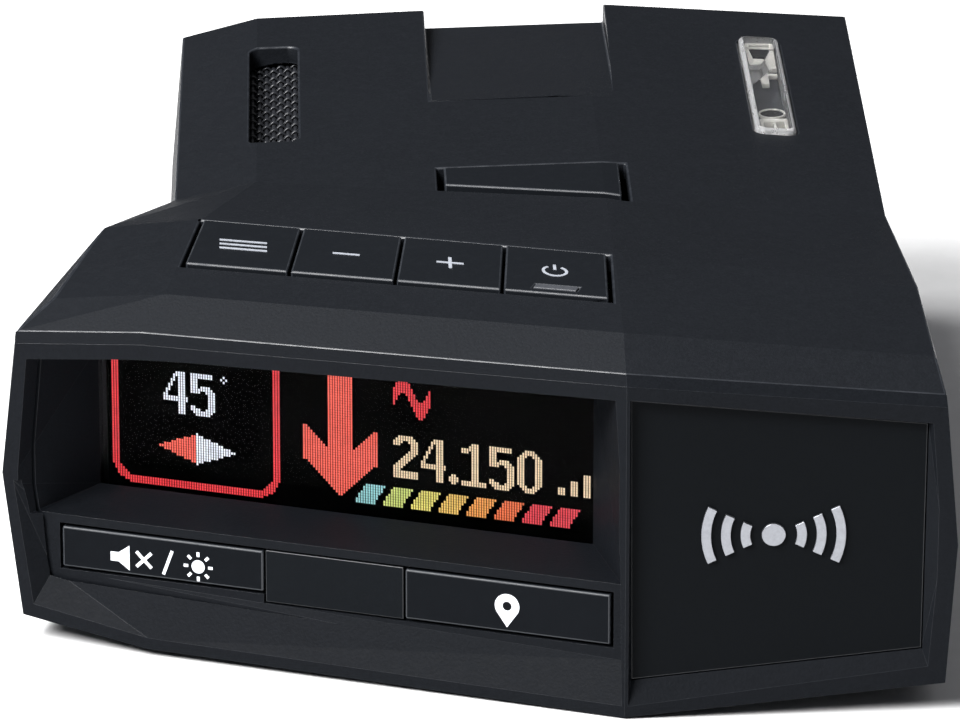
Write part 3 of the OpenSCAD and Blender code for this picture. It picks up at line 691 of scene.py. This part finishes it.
def woven_grille():
    """Mesh of crossing wires in the deck's slot, in place of the plain perforated plate."""
    low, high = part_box("speaker_grille")
    inset_x = 0.35 * MM
    inset_y = 0.4 * MM
    left = low.x + inset_x
    front = low.y + inset_y
    wire = 0.2 * MM
    swell = 0.24 * MM
    across = 8
    along = 26
    pitch_x = (high.x - low.x - 2 * inset_x) / across
    pitch_y = (high.y - low.y - 2 * inset_y) / along
    steps = 4
    bm = bmesh.new()

    def height(x, y):
        """The mesh follows the plate: it falls towards the windscreen and rises to the right."""
        back = (y - low.y) / (high.y - low.y)
        right = (x - low.x) / (high.x - low.x)
        return high.z - 1.02 * MM - 0.38 * MM * back + 0.7 * MM * right

    for i in range(across + 1):
        x = left + i * pitch_x
        path = []
        for k in range(along * steps + 1):
            y = front + k * pitch_y / steps
            lift = swell * 0.5 * math.cos(math.pi * (k / steps + i))
            path.append(Vector((x, y, height(x, y) + lift)))
        add_tube(bm, path, wire * 1.1, wire * 0.6)
    for j in range(along + 1):
        y = front + j * pitch_y
        path = []
        for k in range(across * steps + 1):
            x = left + k * pitch_x / steps
            lift = -swell * math.cos(math.pi * (k / steps + j))
            path.append(Vector((x, y, height(x, y) + lift)))
        add_tube(bm, path, wire * 1.5, wire * 0.7)
    grille = piece("grille_weave", finish_mesh(bm, "grille_weave", True), M["grille"])
    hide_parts("speaker_grille")


woven_grille()


# ================================================================ spring under the release key

def release_coil():
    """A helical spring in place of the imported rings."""
    low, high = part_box("release_spring")
    wire = 0.28 * MM
    radius = (high.x - low.x) / 2 - wire
    centre = (low + high) / 2
    length = high.z - low.z
    turns = 5
    steps = 24
    path = []
    for k in range(turns * steps + 1):
        turn = 2 * math.pi * k / steps
        rise = (length - 2 * wire) * k / (turns * steps)
        path.append(Vector((centre.x + radius * math.cos(turn), centre.y + radius * math.sin(turn),
                            low.z + wire + rise)))
    bm = bmesh.new()
    add_tube(bm, path, wire, wire * 0.95)
    coil = piece("release_coil", finish_mesh(bm, "release_coil", True), M["bright_metal"])
    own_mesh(coil)
    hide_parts("release_spring")


release_coil()


# ================================================================ lens in the deck

def lens_cover():
    """The clear cover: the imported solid's skin without its underside, thickened inwards to a shell."""
    bm = bmesh.new()
    bm.from_mesh(nodes["top_laser_lens"].data)
    bmesh.ops.remove_doubles(bm, verts=bm.verts, dist=0.01 * MM)
    bm.normal_update()
    under = [f for f in bm.faces if f.normal.z < -0.9]
    bmesh.ops.delete(bm, geom=under, context="FACES")
    bmesh.ops.dissolve_limit(bm, angle_limit=math.radians(1), verts=bm.verts, edges=bm.edges)
    # the walls take the half-white material, the painted highlight of the rim
    for face in bm.faces:
        face.material_index = 0 if face.normal.z > 0.5 else 1
    mesh = bpy.data.meshes.new("lens_cover")
    bm.to_mesh(mesh)
    bm.free()
    cover = piece("lens_cover", mesh, [M["clear_lens"], M["lens_wall"]])
    bevel = cover.modifiers.new("bevel", "BEVEL")
    bevel.width = 0.4 * MM
    bevel.segments = 4
    bevel.limit_method = "ANGLE"
    bevel.angle_limit = math.radians(50)
    # the rounded edges take the painted rim highlight too
    bevel.material = 1
    shell = cover.modifiers.new("shell", "SOLIDIFY")
    shell.thickness = 0.5 * MM
    shell.offset = -1
    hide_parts("top_laser_lens")


def lens_inside():
    """What shows through the cover: floor, white reflector with a black plate as painted shade in its rear
    well, an eye-shaped ring painted white as a highlight, and the ribbed block in front.

    Outlines are (x in millimetres from the middle, y as a share of the length from the windscreen end)."""
    low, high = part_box("top_laser_lens")
    centre_x = (low.x + high.x) / 2
    length = (high.y - low.y) / MM
    level = high.z - 1.1 * MM

    def at(p, z):
        return Vector((centre_x + p[0] * MM, high.y - p[1] * length * MM, z))

    def plates(name, shapes, material, rise, thick):
        top = level + rise * MM
        bm = bmesh.new()
        for outline in shapes:
            add_prism(bm, outline, lambda p: at(p, top), lambda p: at(p, top - thick * MM))
        obj = piece(name, finish_mesh(bm, name), M[material])
        bevel = obj.modifiers.new("bevel", "BEVEL")
        bevel.width = 0.06 * MM
        bevel.segments = 2
        bevel.limit_method = "ANGLE"

    plates("lens_floor", [bar(0, 0.5, 2.9, 0.93)], "lens_floor", -0.9, 0.6)
    # a black plate in the rear well is painted shade for the hollow between the reflector's wings
    rear_well_painted_shade = [(-1.0, 0.105), (1.0, 0.105), (0.6, 0.19), (-0.6, 0.19)]
    plates("lens_rear_well", [rear_well_painted_shade], "trim", 0.02, 0.3)
    left_wing = [(-1.4, 0.10), (-1.0, 0.10), (-0.6, 0.195), (-0.6, 0.29), (-1.4, 0.29)]
    right_wing = [(-x, y) for x, y in reversed(left_wing)]
    reflector = [left_wing, right_wing, bar(0, 0.2425, 1.2, 0.095), bar(0, 0.352, 2.7, 0.018),
                 [(-0.45, 0.29), (0.45, 0.29), (0.36, 0.45), (-0.36, 0.45)]]
    plates("lens_reflector", reflector, "reflector", -0.1, 0.5)
    def oval(half_wide, half_tall):
        turns = [math.radians(18 * k) for k in range(21)]
        return [(half_wide * math.cos(t), 0.757 + half_tall * math.sin(t)) for t in turns]

    # the eye-shaped ring is made of the white reflector: a painted highlight for the light caught along a
    # clear ring
    eye = oval(1.38, 0.048)
    core = oval(1.2, 0.040)
    ring = [[eye[k], eye[k + 1], core[k + 1], core[k]] for k in range(20)]
    plates("lens_eye", ring, "reflector", -0.1, 0.3)
    plates("lens_eye_core", [core[:-1]], "trim", -0.2, 0.3)
    block = [bar(0, 0.84, 2.8, 0.03), bar(-1.2, 0.90, 0.35, 0.10), bar(1.2, 0.90, 0.35, 0.10),
             bar(0.05, 0.90, 0.3, 0.07), bar(0.4, 0.955, 1.2, 0.012)]
    plates("lens_front_block", block, "reflector", 0.0, 0.9)
    rear = [bar(0, 0.045, 2.2, 0.012), bar(0, 0.088, 2.6, 0.012), bar(-1.2, 0.065, 0.4, 0.05),
            bar(1.2, 0.065, 0.4, 0.05)]
    plates("lens_rear_frame", rear, "reflector", 0.0, 0.5)


lens_cover()
lens_inside()


# ================================================================ studio

def floor():
    """Pale paper, a hair below the lowest point."""
    bpy.ops.mesh.primitive_plane_add(size=8, location=(0, 0, cad_box[0].z - 0.2 * MM))
    plane = bpy.context.object
    plane.name = "studio_floor"
    material, tree, shader = new_material("studio_paper")
    paper = noise(tree, 300, 3.0)
    tone = ramp(tree, paper, 0.3, 0.7, (0.86, 0.86, 0.86), (0.90, 0.90, 0.90))
    link(tree, tone, shader.inputs["Base Color"])
    shader.inputs["Roughness"].default_value = 0.9
    plane.data.materials.append(material)


def softbox(name, location, target, size, power):
    light = bpy.data.lights.new(name, "AREA")
    light.shape = "RECTANGLE"
    light.size, light.size_y = size
    light.energy = power
    obj = bpy.data.objects.new(name, light)
    obj.location = location
    obj.rotation_mode = "QUATERNION"
    obj.rotation_quaternion = (Vector(target) - Vector(location)).to_track_quat("-Z", "Y")
    bpy.context.scene.collection.objects.link(obj)


def studio():
    """A dim room, so that the deck stays black, with soft boxes at the front left and overhead."""
    world = bpy.data.worlds.new("studio")
    world.use_nodes = True
    tree = world.node_tree
    background = tree.nodes["Background"]
    where = tree.nodes.new("ShaderNodeTexCoord")
    split = tree.nodes.new("ShaderNodeSeparateXYZ")
    link(tree, where.outputs["Generated"], split.inputs["Vector"])
    link(tree, ramp(tree, split.outputs["Z"], 0.35, 1.0, (0.035, 0.037, 0.042), (0.30, 0.30, 0.31)),
         background.inputs["Color"])
    bpy.context.scene.world = world
    softbox("front_top", (-0.9, -0.85, 1.15), (0, 0, 0), (0.9, 0.7), 60)
    softbox("overhead", (-0.5, 0.1, 1.05), (-0.02, 0, 0), (0.5, 0.35), 9)


def camera():
    """The view: slightly from the left, 20 degrees down, from 0.7 m away with a long lens."""
    heading = math.radians(-1.5)
    tilt = math.radians(20)
    data = bpy.data.cameras.new("camera")
    data.sensor_width = 36
    data.lens = 285
    data.clip_start, data.clip_end = 0.05, 10
    obj = bpy.data.objects.new("camera", data)
    level = math.cos(tilt)
    forward = Vector((math.sin(-heading) * level, math.cos(heading) * level, -math.sin(tilt)))
    obj.location = (-0.01669, -0.70371, 0.27071)
    obj.rotation_mode = "QUATERNION"
    obj.rotation_quaternion = forward.to_track_quat("-Z", "Y")
    bpy.context.scene.collection.objects.link(obj)
    bpy.context.scene.camera = obj


floor()
studio()
camera()
bpy.context.scene.view_settings.view_transform = "Standard"
